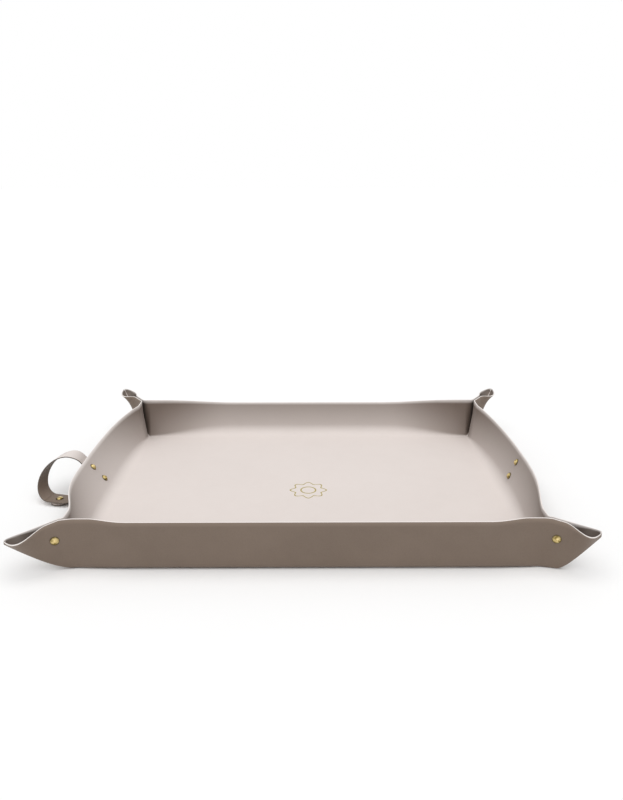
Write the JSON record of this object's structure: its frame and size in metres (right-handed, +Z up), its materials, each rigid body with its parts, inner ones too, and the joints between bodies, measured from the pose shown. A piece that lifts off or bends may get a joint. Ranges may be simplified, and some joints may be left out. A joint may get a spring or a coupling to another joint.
{
  "type": "potting soil tray",
  "caption": "Rectangular potting mat of soft leather-look sheet, pinched up at the corners with brass press studs into a shallow tray, with a strap loop handle at each end.",
  "frame": {"origin": "middle of the floor's underside, on the table", "axes": "+Z up, +X along the long side to the right, the front wall at -Y"},
  "size_m": [0.8373, 0.5852, 0.0854],
  "materials": {
    "sheet": "matte, light inside and taupe outside",
    "strap": "matte, light outside and taupe inside",
    "brass": "polished",
    "spring_wire": "drawn wire"
  },
  "bodies": {
    "tray": {"front_left_snap_cap": "brass", "front_left_snap_eyelet": "brass", "front_left_snap_socket": "brass", "front_left_snap_spring": "spring_wire", "front_left_snap_stud": "brass", "front_right_snap_cap": "brass", "front_right_snap_eyelet": "brass", "front_right_snap_socket": "brass", "front_right_snap_spring": "spring_wire", "front_right_snap_stud": "brass", "left_lower_rivet_cap": "brass", "left_lower_rivet_pin": "brass", "left_strap": "strap", "left_strap_snap_eyelet": "brass", "left_strap_snap_stud": "brass", "left_upper_rivet_cap": "brass", "left_upper_rivet_pin": "brass", "mat_sheet": "sheet", "rear_left_snap_cap": "brass", "rear_left_snap_eyelet": "brass", "rear_left_snap_socket": "brass", "rear_left_snap_spring": "spring_wire", "rear_left_snap_stud": "brass", "rear_right_snap_cap": "brass", "rear_right_snap_eyelet": "brass", "rear_right_snap_socket": "brass", "rear_right_snap_spring": "spring_wire", "rear_right_snap_stud": "brass", "right_lower_rivet_cap": "brass", "right_lower_rivet_pin": "brass", "right_strap": "strap", "right_strap_snap_eyelet": "brass", "right_strap_snap_stud": "brass", "right_upper_rivet_cap": "brass", "right_upper_rivet_pin": "brass"},
    "left_flap": {"left_strap_flap": "strap", "left_strap_snap_cap": "brass", "left_strap_snap_socket": "brass", "left_strap_snap_spring": "spring_wire"},
    "right_flap": {"right_strap_flap": "strap", "right_strap_snap_cap": "brass", "right_strap_snap_socket": "brass", "right_strap_snap_spring": "spring_wire"}
  },
  "joints": [
    {"name": "left_flap_open", "type": "hinge", "parent": "tray", "child": "left_flap", "pos_m": [-0.41857, -0.0451, 0.0074], "axis": [-0.225, -0.9744, 0], "range_deg": [0, 60]},
    {"name": "right_flap_open", "type": "hinge", "parent": "tray", "child": "right_flap", "pos_m": [0.38136, 0.068, 0.0074], "axis": [0, 1, 0], "range_deg": [0, 60]}
  ]
}
